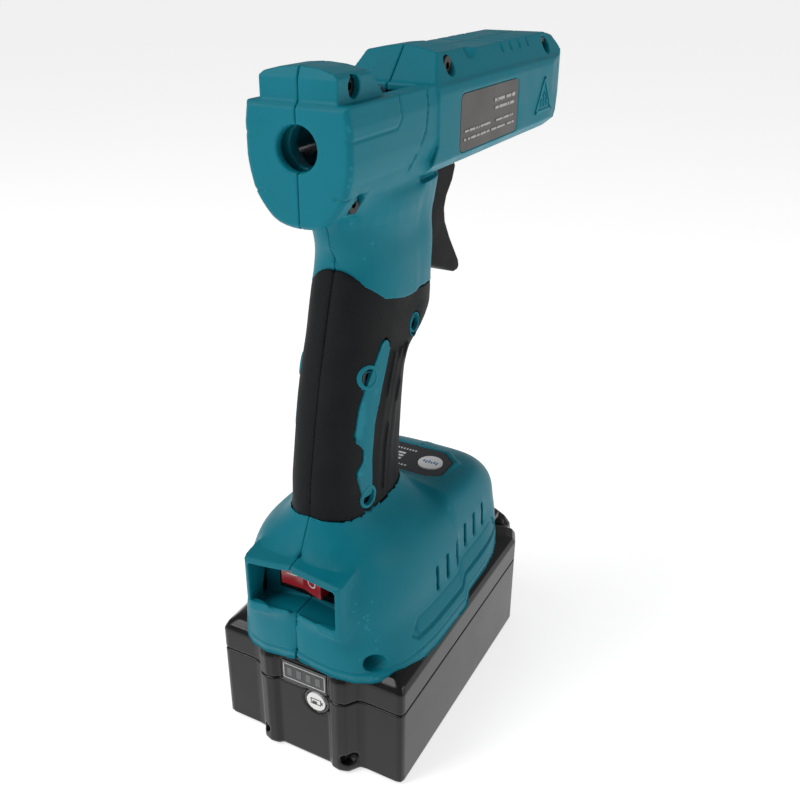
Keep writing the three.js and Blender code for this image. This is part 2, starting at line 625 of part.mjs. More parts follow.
function openings() {
  const inlet = turned([[HEAD_REAR - 2, 0], [HEAD_REAR - 2, 7.6], [HEAD_REAR + 0.9, STICK_R + 0.5],
    [4.6, STICK_R + 0.5], [4.6, 0]]);
  const trough = box(TROUGH_REAR, TROUGH_FRONT, -TROUGH_HALF, TROUGH_HALF, FEED_Z, BIG);
  const rods = both((s) => rodX(ROD_R + RUN, -38.4, 22, s * ROD_Y, ROD_Z, 12));
  const pins = rodY(PIN_R + 0.05, -13, 13, TRIG_X, TRIG_Z, 16)
    .add(rodY(PIN_R + 0.05, -12, 12, LEVER_X, LEVER_Z, 16));
  const slot = box(NECK_FRONT - 9, 42, -TRIG_HALF - 0.6, TRIG_HALF + 0.6, TRIGGER_TOP_Z + 1.4,
    BARREL_BOTTOM + 4);
  const chamber = rodX(CHAMBER_R + GAP, 48, 102, 0, FEED_Z, 28);
  const mouth = rodX(10.4, 101.5, BIG, 0, FEED_Z, 28);
  const strap = box(62, 78, -11.6, 11.6, 192, 218);
  const heater = box(48, 102, -6.6, 6.6, 191.6, 199);
  const plates = both((s) => alongY(
    plate(PLATE_LEN + 2 * GAP, PLATE_H + 2 * GAP, 2.4, PLATE_X, PLATE_Z),
    s > 0 ? BARREL_HALF - PLATE_T : -20, s > 0 ? 20 : -BARREL_HALF + PLATE_T,
  ));
  const rocker = box(NOSE_REAR - 2, SWITCH_WALL_X - 1, -SWITCH_HALF, SWITCH_HALF, SWITCH_LOW, SWITCH_HIGH)
    .add(box(NOSE_REAR + WALL, SWITCH_WALL_X - 1, -SWITCH_HALF, SWITCH_HALF, SWITCH_LOW - 3, SWITCH_HIGH))
    .add(box(SWITCH_WALL_X - 2, -30, -10.2, 10.2, SWITCH_LOW - 0.4, SWITCH_HIGH - 1.2));
  const panel = alongZ(panelOutline(GAP), PANEL_Z, PANEL_Z + 6)
    .add(rodZ(BUTTON_R + GAP, 70, PANEL_Z + 6, PANEL_X, BUTTON_Y, 20));
  const ribs = [0, 1, 2, 3].map((i) => box(60 + 8 * i, 61.4 + 8 * i, -30, 30, CROWN_Z - 5.4, BIG)
    .subtract(barrelOuter(0.7)));
  const notch = both((s) => alongY([[28.6, 230], [31.6, 222.2], [35.6, 222], [39.4, 224.6], [40, 230]],
    s > 0 ? 8.6 : -20, s > 0 ? 20 : -8.6));
  const grooves = all([
    band([[-1, 219], [-3.4, 206], [-11, 196.4], [-17, 194.2], [-50, 194.2]], 1),
    band([[-18.4, 219], [-18.4, 211.4], [-21, 209], [-50, 209]], 0.9),
    band([[-23, 197.6], [-44, 197.6]], 0.9),
  ]).subtract(box(-60, 0, -11, 11, 180, 230)).subtract(headOuter(0.7)).subtract(barrelOuter(0.7));
  const vents = [0, 1, 2, 3, 4, 5].map((i) => both((s) => box(
    -18.8 + 7.8 * i, -16.8 + 7.8 * i, s > 0 ? 20 : -40, s > 0 ? 40 : -20, 60.6, 70,
  )));
  const under = both((s) => box(46, 92, s > 0 ? 9.6 : -13, s > 0 ? 13 : -9.6, 180, 194.4));
  const rails = alongX(mirrored([
    [0, 40], [RAIL_HALF + 0.5, 40], [RAIL_HALF + 0.5, RAIL_TOP - 3.6],
    [RAIL_HALF + RAIL_LIP + 0.5, RAIL_TOP - 3.6],
    [RAIL_HALF + RAIL_LIP + 0.5, RAIL_TOP + 0.6], [0, RAIL_TOP + 0.6],
  ]), RAIL_REAR - 0.6, BIG);
  const feed = [inlet, trough, rods, pins, slot];
  const heat = [chamber, mouth, strap, heater];
  const surface = [grooves, plates, rocker, panel, ...ribs, notch, ...vents, under, rails];
  return all([...feed, ...heat, ...surface, ...screwSpots.map(screwHoles)]);
}

// The rubber skin is full thickness, less the strip and ring that the housing shows through it.
function gripSkin() {
  const shell = gripBody(0).subtract(gripBody(SKIN)).intersect(skinArea(GAP));
  const ridges = [0, 1, 2].map((i) => alongY([
    [-28.6 + 4 * i, 96], [-27.2 + 4 * i, 96], [-26 + 4 * i, 110], [-22.4 + 4 * i, 124], [-15.4 + 4 * i, 141],
    [-16.9 + 4 * i, 141], [-23.8 + 4 * i, 124], [-27.4 + 4 * i, 110],
  ], -40, 40));
  const proud = gripBody(-0.7).subtract(gripBody(SKIN)).intersect(all(ridges)).intersect(skinArea(GAP));
  return shell.add(proud).subtract(inlayArea(0)).subtract(gripRing(0));
}

const rightOf = (shape) => shape.intersect(box(-BIG, BIG, -BIG, -GAP / 2, -BIG, BIG));
const leftOf = (shape) => shape.intersect(box(-BIG, BIG, GAP / 2, BIG, -BIG, BIG));

// ---------- trigger and feed ----------
function trigger() {
  const profile = [
    [TRIG_X - 3.6, TRIG_Z], [TRIG_X - 2.5, TRIG_Z + 2.5], [TRIG_X, TRIG_Z + 3.6], [TRIG_X + 3, TRIG_Z + 2.6],
    [37.5, 190], [39.6, 187.4], [37.4, 182.6], [33, 178], [31.6, 174.4], [32.4, 170], [36.4, 163.6],
    [44.6, 153],
    [45.4, 150.4], [44, 149], [41.6, 149], [20.4, 157.4], [10.8, 161.4], [10.8, 171], [19.6, 176],
  ];
  const body = alongY(profile, -TRIG_HALF, TRIG_HALF, 0.8);
  const fork = box(4, 18.4, -3.4, 3.4, 160, 172.6);
  return body.subtract(fork).subtract(rodY(PIN_R + RUN, -10, 10, TRIG_X, TRIG_Z, 16))
    .subtract(rodY(1.5 + RUN, -10, 10, LINK_X, LINK_Z, 12));
}

function pushLink() {
  const bar = box(LEVER_X, LINK_X, -2.8, 2.8, LINK_Z - 2.6, LINK_Z + 2.6);
  const eye = rodY(2.9, -2.8, 2.8, LINK_X, LINK_Z, 16);
  const rearEye = rodY(2.9, -4.9, 4.9, LEVER_X, LINK_Z, 16)
    .add(box(LEVER_X, 0, -4.9, 4.9, LINK_Z - 2.6, LINK_Z + 2.6));
  const stub = rodY(1.5, -6.6, 6.6, LINK_X, LINK_Z, 12);
  const cut = box(LEVER_X - 5, LEVER_X + 6.2, -LEVER_HALF - GAP, LEVER_HALF + GAP, LINK_Z - 6, LINK_Z + 6);
  const axle = rodY(1.4, -4, 4, LEVER_X, LINK_Z, 12);
  return all([bar, eye, rearEye]).subtract(cut).add(stub).add(axle);
}

function feedLever() {
  const profile = [
    [LEVER_X - 3.2, LINK_Z - 2], [LEVER_X - 1.4, LINK_Z - 3.6], [LEVER_X + 1.4, LINK_Z - 3.6],
    [LEVER_X + 3.2, LINK_Z - 2],
    [LEVER_X + 3.8, LEVER_Z], [LEVER_X + 1.6, LEVER_TIP_Z - 3], [LEVER_X + 2.6, LEVER_TIP_Z],
    [LEVER_X + 1.6, LEVER_TIP_Z + 2.2], [LEVER_X - 1.6, LEVER_TIP_Z + 2.2], [LEVER_X - 2.6, LEVER_TIP_Z],
    [LEVER_X - 1.6, LEVER_TIP_Z - 3], [LEVER_X - 3.8, LEVER_Z],
  ];
  const hub = rodY(3.8, -5.4, 5.4, LEVER_X, LEVER_Z, 16);
  return alongY(profile, -LEVER_HALF, LEVER_HALF).add(hub)
    .subtract(rodY(PIN_R + RUN, -8, 8, LEVER_X, LEVER_Z, 16))
    .subtract(rodY(1.4 + RUN + 0.22, -8, 8, LEVER_X, LINK_Z, 16));
}

function feedCarriage() {
  const body = box(CARRIAGE_REAR, CARRIAGE_FRONT, -12, 12, 199.2, 213);
  const prongs = all([-1, 1].map((s) => box(
    LEVER_X + s * 4.4 - 1.4, LEVER_X + s * 4.4 + 1.4, -4, 4, LEVER_TIP_Z - 3, 200,
  )));
  const bore = rodX(STICK_R + 0.6, -40, 40, 0, FEED_Z, 28);
  const rods = both((s) => rodX(ROD_R + RUN, -40, 40, s * ROD_Y, ROD_Z, 16));
  const window = box(CARRIAGE_REAR + 2.6, CARRIAGE_FRONT - 2.6, -4.4, 4.4, FEED_Z, BIG);
  return body.add(prongs).subtract(bore).subtract(rods).subtract(window)
    .subtract(rodY(1.2 + RUN, -10, 10, CARRIAGE_REAR + 5, 211, 12));
}

function stickClamp() {
  const x = CARRIAGE_REAR + 5;
  const profile = [[x - 2, 210], [x + 0.6, 209.4], [x + 4.6, 212.4], [x + 4.6, 214.6], [x + 1.6, 215.4],
    [x - 2, 213.4]];
  const hole = rodY(1.2 + RUN, -10, 10, x, 211, 12);
  const raised = alongY(profile.map(([u, v]) => [u, v + 2.4]), -4, 4);
  return raised.add(box(x - 2, x + 2, -4, 4, 209.2, 213.2)).subtract(hole)
    .subtract(rodX(STICK_R + 0.4, -40, 40, 0, FEED_Z, 28));
}

// A coil around a guide rod, from the carriage to the front rib.
function returnSpring(y) {
  const x0 = CARRIAGE_FRONT + 1;
  const x1 = 17.4;
  class Helix extends THREE.Curve {
    getPoint(t, target = new THREE.Vector3()) {
      const a = 2 * Math.PI * 6 * t;
      return target.set(x0 + (x1 - x0) * t, y + 2.3 * Math.cos(a), ROD_Z + 2.3 * Math.sin(a));
    }
  }
  return solid(new THREE.ExtrudeGeometry(new THREE.Shape(v2(circle(0.35, 0, 0, 4))), {
    steps: 48, extrudePath: new Helix(), bevelEnabled: false,
  }));
}

// ---------- heating ----------
const feedSleeve = () => turned([[21, 6.3], [21, 8.4], [26, 7.9], [40, 8.6], [45, 8.6], [45, 7.5],
  [33, 7.5], [33, 6.3], [21, 6.3]]);
const sleeveBand = () => turned([[40.4, 8.9], [40.4, 9.8], [43.4, 9.8], [43.4, 8.9], [40.4, 8.9]], 24);

function meltChamber() {
  const body = turned([
    [CHAMBER_REAR, STICK_R + 0.4], [CHAMBER_REAR, 7.2], [46, 7.2], [46, CHAMBER_R],
    [CHAMBER_FRONT, CHAMBER_R],
    [CHAMBER_FRONT, 4.1], [96, 4.1], [96, 2.2], [88, 2.2], [80, STICK_R + 0.4], [CHAMBER_REAR, STICK_R + 0.4],
  ]);
  const rail = box(52, 97, -5.6, 5.6, 196.2, 199.4).subtract(rodX(CHAMBER_R - 1, 50, 99, 0, FEED_Z, 28));
  return body.add(rail);
}

const heaterBlock = () => box(54, 94, -5.4, 5.4, 193, 195.9);

function heaterStrap() {
  const ring = box(64, 76, -11, 11, 192.3, 216.8).subtract(box(60, 80, -10.3, 10.3, 192.8, 216.2));
  return ring.subtract(box(60, 80, -8, 8, 216, 220));
}

const sensor = () => rodX(1.4, 80, 92, 0, 216.9, 12).add(rodX(0.9, 79, 83, 0, 216.9, 8));
const support = (x) => rodX(11.6, x, x + 1.8, 0, FEED_Z, 28)
  .subtract(rodX(CHAMBER_R + 0.2, x - 1, x + 3, 0, FEED_Z, 28));

function nozzle() {
  const thread = turned([
    [98, 1.4], [98, 3.8], [107, 3.8], [107, 6.6], [114, 6.6], [116, 6], [128, 4.2], [138, 2.6],
    [NOZZLE_TIP, 1.9],
    [NOZZLE_TIP, 1], [136, 1], [132, 1.4], [98, 1.4],
  ]);
  const hex = rodX(8, 108, 113.4, 0, FEED_Z, 6).subtract(rodX(3, 100, 120, 0, FEED_Z, 12));
  return thread.add(hex);
}

const nozzleCover = () => turned([
  [115, 7.4], [115, 9.4], [119, 9.6], [121, 9], [132, 5.6], [136, 4.6], [136, 3.4], [128, 4.9], [117.4, 6.6],
  [116.4, 7.4], [115, 7.4],
]);

// ---------- controls ----------
function rockerFrame() {
  const flange = box(SWITCH_WALL_X - 2.8, SWITCH_WALL_X - 1.2, -10.9, 10.9, SWITCH_LOW - 1,
    SWITCH_HIGH - 0.5);
  const body = box(SWITCH_WALL_X - 1.6, -34, -9.9, 9.9, SWITCH_LOW, SWITCH_HIGH - 1.6);
  const well = box(-60, -38, -9.2, 9.2, SWITCH_LOW + 1.4, SWITCH_HIGH - 3);
  const tabs = [-6, 0, 6].map((y) => box(-34.5, -29.6, y - 1, y + 1, 71, 76));
  return all([flange, body, ...tabs]).subtract(well);
}

const ROCKER_X = SWITCH_WALL_X + 2;
const ROCKER_TILT = 7;
function rocker() {
  const half = 8.1;
  const profile = [[-7.6, -half], [-6.4, 0], [-7.6, half], [-1, half], [3, 2.4], [3.6, 0], [3, -2.4],
    [-1, -half]];
  const g = prism(profile.map(([x, y]) => [x, y]), SWITCH_HIGH - SWITCH_LOW - 5.4, 0.3);
  g.rotateZ(THREE.MathUtils.degToRad(-ROCKER_TILT));
  g.translate(ROCKER_X, 0, SWITCH_LOW + 1.9);
  return solid(g);
}

function panelOverlay() {
  const plate = alongZ(panelOutline(0), PANEL_Z + 0.2, PANEL_Z + 0.9);
  return plate.subtract(rodZ(BUTTON_R + 0.2, 70, 100, PANEL_X, BUTTON_Y, 24));
}

const modeButton = () => rodZ(BUTTON_R, PANEL_Z - 3, PANEL_Z + 1.3, PANEL_X, BUTTON_Y, 24)
  .add(rodZ(2, PANEL_Z - 4.6, PANEL_Z - 2.5, PANEL_X, BUTTON_Y, 12));

const panelBoard = () => box(PANEL_X - 9, PANEL_X + 8, -16, 16, PANEL_Z - 8.6, PANEL_Z - 7)
  .add(box(PANEL_X - 2.4, PANEL_X + 2.4, BUTTON_Y - 2.4, BUTTON_Y + 2.4, PANEL_Z - 7.4, PANEL_Z - 5.6));

function mainBoard() {
  const board = box(-24, 24, -19, 19, 60, 61.6);
  const chips = [
    box(-18, -6, -12, -2, 61, 67), box(0, 8, 4, 12, 61, 64), box(12, 17, -14, -9, 61, 66),
      box(-20, -14, 6, 14, 61, 65),
  ];
  return all([board, ...chips, rodZ(4, 61, 71, 4, -9, 14), rodZ(3, 61, 69, 16, 4, 12)]);
}

function terminalBlock() {
  const body = box(-44.2, -33, -18, 18, RAIL_TOP + 1.2, 57).add(box(-42, -33, -18, 18, 47.9, 53));
  return body.subtract(both((s) => box(-40, -20, s * 12 - 0.6, s * 12 + 0.6, 45.5, 51)));
}

const blade = (s) => box(-39, -10, s * 12 - 0.4, s * 12 + 0.4, 47.9, 50.4);

// ---------- colours and assembly ----------
function material(color, roughness, metalness = 0) {
  return new THREE.MeshStandardMaterial({ color, roughness, metalness });
}

const group = new THREE.Group();
group.name = 'glue_gun';

function put(name, shape, color, roughness = 0.6, metalness = 0) {
  const out = shape.getMesh();
  const g = new THREE.BufferGeometry();
  const position = new Float32Array(out.numVert * 3);
  for (let i = 0; i < out.numVert; i += 1) {
    for (let k = 0; k < 3; k += 1) position[3 * i + k] = out.vertProperties[i * out.numProp + k];
  }
  g.setAttribute('position', new THREE.BufferAttribute(position, 3));
  g.setIndex(new THREE.BufferAttribute(new Uint32Array(out.triVerts), 1));
  g.computeVertexNormals();
  const mesh = new THREE.Mesh(g, material(color, roughness, metalness));
  mesh.name = name;
  group.add(mesh);
}

const TEAL = 0x1f7f8c;
const BLACK = 0x17191b;
const STEEL = 0xb9bcc0;

const shell = housing();
put('right_housing', rightOf(shell), TEAL);
put('left_housing', leftOf(shell), TEAL);
const skin = gripSkin();
put('right_grip', rightOf(skin), BLACK, 0.8);
put('left_grip', leftOf(skin), BLACK, 0.8);
put('trigger', trigger(), BLACK);
put('trigger_pin', rodY(PIN_R, -12.6, 12.6, TRIG_X, TRIG_Z, 16), STEEL, 0.3, 1);
put('push_link', pushLink(), STEEL, 0.4, 1);
put('feed_lever', feedLever(), 0xd8d8d2);
put('lever_pin', rodY(PIN_R, -11.6, 11.6, LEVER_X, LEVER_Z, 16), STEEL, 0.3, 1);
put('feed_carriage', feedCarriage(), 0xd8d8d2);
put('stick_clamp', stickClamp(), STEEL, 0.4, 1);
put('clamp_pin', rodY(1.2, -9.4, 9.4, CARRIAGE_REAR + 5, 211, 12), STEEL, 0.3, 1);
put('right_guide_rod', rodX(ROD_R, -38, 21.6, -ROD_Y, ROD_Z, 14), STEEL, 0.3, 1);
put('left_guide_rod', rodX(ROD_R, -38, 21.6, ROD_Y, ROD_Z, 14), STEEL, 0.3, 1);
put('right_return_spring', returnSpring(-ROD_Y), STEEL, 0.3, 1);
put('left_return_spring', returnSpring(ROD_Y), STEEL, 0.3, 1);
put('feed_sleeve', feedSleeve(), 0xb8442e, 0.7);
put('sleeve_band', sleeveBand(), STEEL, 0.3, 1);
put('melt_chamber', meltChamber(), 0xc7c9cc, 0.4, 1);
put('heater_block', heaterBlock(), 0xe6ddc8);
put('heater_strap', heaterStrap(), STEEL, 0.3, 1);
put('temperature_sensor', sensor(), 0x2b2b2b);
put('rear_chamber_ring', support(46.4), 0xd9cfa8);
put('front_chamber_ring', support(103), 0xd9cfa8);
put('nozzle', nozzle(), 0xb98b3e, 0.3, 1);
put('nozzle_cover', nozzleCover(), 0x202224, 0.8);
for (const [name, s] of [['right_rating_plate', -1], ['left_rating_plate', 1]]) {
  const y = [s * (BARREL_HALF - PLATE_T + 0.1), s * (BARREL_HALF - 0.15)].sort((a, b) => a - b);
  put(name, alongY(plate(PLATE_LEN, PLATE_H, 2.2, PLATE_X, PLATE_Z), ...y), 0x3d3b38);
}
put('rocker_frame', rockerFrame(), BLACK);
put('rocker', rocker(), 0xb01c22, 0.4);
put('panel_overlay', panelOverlay(), 0x3c4044, 0.4);
put('mode_button', modeButton(), 0xe8e8e8, 0.5);
put('panel_board', panelBoard(), 0x1f6b3a);
put('main_board', mainBoard(), 0x1f6b3a);
put('terminal_block', terminalBlock(), BLACK);
put('right_blade', blade(-1), 0xc08a4a, 0.3, 1);
put('left_blade', blade(1), 0xc08a4a, 0.3, 1);
put('battery_case', batteryCase(), BLACK, 0.4);
put('battery_lid', batteryLid(), BLACK, 0.4);
put('battery_latch', batteryLatch(), 0x8a8d90, 0.5);
put('charge_label', chargeLabel(), 0x101010, 0.3);
put('charge_button', checkButton(), 0xe8e8e8);
cells().forEach((cell, i) => put(`cell_${i + 1}`, cell, 0x2f6fb0, 0.5));
for (const spot of screwSpots) put(`screw_${spot.name}`, screw(spot), STEEL, 0.35, 1);

export default group;
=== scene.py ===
"""Looks of the cordless glue gun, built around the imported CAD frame. Metres, +X forward, +Z up."""
import json
import math

import bmesh
import bpy
import numpy as np
from mathutils import Matrix, Vector


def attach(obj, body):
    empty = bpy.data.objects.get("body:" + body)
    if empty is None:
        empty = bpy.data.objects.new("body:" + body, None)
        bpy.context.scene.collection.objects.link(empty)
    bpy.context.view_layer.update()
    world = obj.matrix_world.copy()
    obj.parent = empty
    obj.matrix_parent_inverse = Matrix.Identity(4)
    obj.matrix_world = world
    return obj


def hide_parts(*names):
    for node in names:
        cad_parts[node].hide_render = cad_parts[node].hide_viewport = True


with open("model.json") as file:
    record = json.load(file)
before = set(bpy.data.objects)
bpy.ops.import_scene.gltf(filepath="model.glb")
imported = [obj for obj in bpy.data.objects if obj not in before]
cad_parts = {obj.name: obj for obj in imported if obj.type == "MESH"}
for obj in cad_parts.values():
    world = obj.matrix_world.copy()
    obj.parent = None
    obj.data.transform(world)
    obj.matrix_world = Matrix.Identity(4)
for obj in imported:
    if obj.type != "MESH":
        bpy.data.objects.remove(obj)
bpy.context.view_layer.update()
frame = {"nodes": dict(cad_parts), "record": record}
MM = 0.001
scene = bpy.context.scene
scene.view_settings.view_transform = "Standard"

# ---------------------------------------------------------------- camera, floor and light
LENS = 41.0634
SHIFT = (0.0111, -0.0025875)
CAMERA_AT = (-245.87, -135.49, 251.84)
YAW, PITCH, ROLL = 0.4932, 0.4540, 0.0019
FLOOR_DROP = 0.0002


def link(data, name):
    """A new object in the scene that holds the data."""
    obj = bpy.data.objects.new(name, data)
    scene.collection.objects.link(obj)
    return obj


def make_camera():
    """Looks down on the rear and the right side."""
    data = bpy.data.cameras.new("camera")
    camera = link(data, "camera")
    look = Vector((math.cos(PITCH) * math.cos(YAW), math.cos(PITCH) * math.sin(YAW), -math.sin(PITCH)))
    right = look.cross(Vector((0, 0, 1))).normalized()
    up = right.cross(look)
    c, s = math.cos(ROLL), math.sin(ROLL)
    right, up = right * c + up * s, up * c - right * s
    camera.matrix_world = Matrix((
        (right.x, up.x, -look.x, CAMERA_AT[0] * MM),
        (right.y, up.y, -look.y, CAMERA_AT[1] * MM),
        (right.z, up.z, -look.z, CAMERA_AT[2] * MM),
        (0, 0, 0, 1),
    ))
    data.sensor_width = 36
    data.lens = LENS
    data.shift_x, data.shift_y = SHIFT
    data.clip_start = 0.01
    scene.camera = camera


def area_light(name, at, target, size, power):
    """A square white light that faces the target."""
    data = bpy.data.lights.new(name, "AREA")
    data.shape = "SQUARE"
    data.size = size
    data.energy = power
    light = link(data, name)
    light.location = at
    light.rotation_euler = (Vector(target) - Vector(at)).to_track_quat("-Z", "Y").to_euler()


def make_floor():
    bm = bmesh.new()
    bmesh.ops.create_grid(bm, x_segments=4, y_segments=4, size=20)
    mesh = bpy.data.meshes.new("floor")
    bm.to_mesh(mesh)
    bm.free()
    floor = link(mesh, "floor")
    floor.location.z = -FLOOR_DROP
    mat = bpy.data.materials.new("floor")
    mat.use_nodes = True
    shader = mat.node_tree.nodes["Principled BSDF"]
    shader.inputs["Base Color"].default_value = (0.7, 0.7, 0.7, 1)
    shader.inputs["Roughness"].default_value = 0.9
    shader.inputs["Emission Color"].default_value = (1, 1, 1, 1)
    shader.inputs["Emission Strength"].default_value = 0.66
    mesh.materials.append(mat)


def make_world():
    """Soft light from all around, with a paler backdrop where the camera sees past the floor."""
    world = bpy.data.worlds.new("studio")
    scene.world = world
    world.use_nodes = True
    tree = world.node_tree
    light = tree.nodes["Background"]
    light.inputs["Color"].default_value = (1, 1, 1, 1)
    light.inputs["Strength"].default_value = 0.3
    backdrop = tree.nodes.new("ShaderNodeBackground")
    backdrop.inputs["Color"].default_value = (1, 1, 1, 1)
    backdrop.inputs["Strength"].default_value = 0.9
    seen = tree.nodes.new("ShaderNodeLightPath")
    mix = tree.nodes.new("ShaderNodeMixShader")
    tree.links.new(seen.outputs["Is Camera Ray"], mix.inputs[0])
    tree.links.new(light.outputs[0], mix.inputs[1])
    tree.links.new(backdrop.outputs[0], mix.inputs[2])
    tree.links.new(mix.outputs[0], tree.nodes["World Output"].inputs["Surface"])


def make_lights():
    area_light("key", (-0.5, 0.4, 0.95), (0, 0, 0.12), 0.5, 4.0)
    area_light("side", (0.25, -0.95, 0.45), (0, 0, 0.1), 0.6, 2.4)
    area_light("rear", (-0.7, 0.45, 0.5), (-0.03, 0, 0.08), 0.3, 1.8)


# ---------------------------------------------------------------- node materials
def new_material(name):
    mat = bpy.data.materials.new(name)
    mat.use_nodes = True
    return mat, mat.node_tree, mat.node_tree.nodes["Principled BSDF"]


def noise(tree, grain_mm, rough=0.5):
    """A pattern whose cells are about grain_mm across, in the object's own metres."""
    where = tree.nodes.new("ShaderNodeTexCoord")
    tex = tree.nodes.new("ShaderNodeTexNoise")
    tex.inputs["Scale"].default_value = 1 / (grain_mm * MM)
    tex.inputs["Detail"].default_value = 3
    tex.inputs["Roughness"].default_value = rough
    tree.links.new(where.outputs["Object"], tex.inputs["Vector"])
    return tex.outputs["Fac"]


def ramp(tree, source, low, high, from_low=0.3, from_high=0.7):
    """Maps the source's range from_low to from_high onto low to high."""
    node = tree.nodes.new("ShaderNodeMapRange")
    node.inputs["From Min"].default_value = from_low
    node.inputs["From Max"].default_value = from_high
    node.inputs["To Min"].default_value = low
    node.inputs["To Max"].default_value = high
    tree.links.new(source, node.inputs["Value"])
    return node.outputs["Result"]


def blend_colors(tree, factor, a, b):
    """The factor's mix of two colours, each of them a tuple or another node's output."""
    node = tree.nodes.new("ShaderNodeMix")
    node.data_type = "RGBA"
    for socket, value in ((node.inputs[6], a), (node.inputs[7], b)):
        if isinstance(value, tuple):
            socket.default_value = (*value, 1)
        else:
            tree.links.new(value, socket)
    tree.links.new(factor, node.inputs[0])
    return node.outputs[2]


def bumps(tree, layers):
    """Chains bumps: (height source, depth in mm, strength)."""
    last = None
    for height, depth, strength in layers:
        node = tree.nodes.new("ShaderNodeBump")
        node.inputs["Distance"].default_value = depth * MM
        node.inputs["Strength"].default_value = strength
        tree.links.new(height, node.inputs["Height"])
        if last:
            tree.links.new(last, node.inputs["Normal"])
        last = node.outputs["Normal"]
    return last


def moulded(name, color, rough, grain=0.45, depth=0.05, strength=0.5, mottle=0.06, edge_highlight=0.0, coat=0.0,
            metallic=0.0, specular=0.5, spread=0.08):
    """Moulded or finished surface: grain, broad mottling, uneven gloss and a painted highlight that makes
    sharp edges paler.
    """
    mat, tree, shader = new_material(name)
    fine = noise(tree, grain, 0.6)
    broad = noise(tree, 14)
    dark = tuple(c * (1 - mottle) for c in color)
    light = tuple(min(1, c * (1 + mottle) + 0.002) for c in color)
    tone = blend_colors(tree, ramp(tree, broad, 0, 1), dark, light)
    speck = ramp(tree, fine, 0, 0.5, 0.35, 0.75)
    tone = blend_colors(tree, speck, tone, tuple(min(1, c * (1 + 1.6 * mottle) + 0.004) for c in color))
    # Painted highlight: sharp convex edges, found by pointiness, are coloured paler as if lit.
    if edge_highlight:
        geometry = tree.nodes.new("ShaderNodeNewGeometry")
        edge = ramp(tree, geometry.outputs["Pointiness"], 0, edge_highlight, 0.53, 0.62)
        tone = blend_colors(tree, edge, tone, tuple(min(1, c * 1.9 + 0.03) for c in color))
    tree.links.new(tone, shader.inputs["Base Color"])
    tree.links.new(ramp(tree, broad, rough - spread, rough + spread), shader.inputs["Roughness"])
    tree.links.new(bumps(tree, [(broad, 0.12, 0.15), (fine, depth, strength)]), shader.inputs["Normal"])
    shader.inputs["Metallic"].default_value = metallic
    shader.inputs["Coat Weight"].default_value = coat
    shader.inputs["Coat Roughness"].default_value = 0.12
    shader.inputs["Specular IOR Level"].default_value = specular
    return mat


def turned_metal(name, color, rough, axis=0):
    """Lathe-turned metal with rings along an axis."""
    mat, tree, shader = new_material(name)
    where = tree.nodes.new("ShaderNodeTexCoord")
    stretch = tree.nodes.new("ShaderNodeMapping")
    scale = [60.0, 60.0, 60.0]
    scale[axis] = 6000.0
    stretch.inputs["Scale"].default_value = scale
    tree.links.new(where.outputs["Object"], stretch.inputs["Vector"])
    tex = tree.nodes.new("ShaderNodeTexNoise")
    tex.inputs["Scale"].default_value = 1
    tree.links.new(stretch.outputs["Vector"], tex.inputs["Vector"])
    broad = noise(tree, 6)
    tone = blend_colors(tree, ramp(tree, broad, 0, 1), tuple(c * 0.8 for c in color), color)
    tree.links.new(tone, shader.inputs["Base Color"])
    tree.links.new(ramp(tree, tex.outputs["Fac"], rough - 0.08, rough + 0.1), shader.inputs["Roughness"])
    tree.links.new(bumps(tree, [(tex.outputs["Fac"], 0.02, 0.4)]), shader.inputs["Normal"])
    shader.inputs["Metallic"].default_value = 1
    return mat
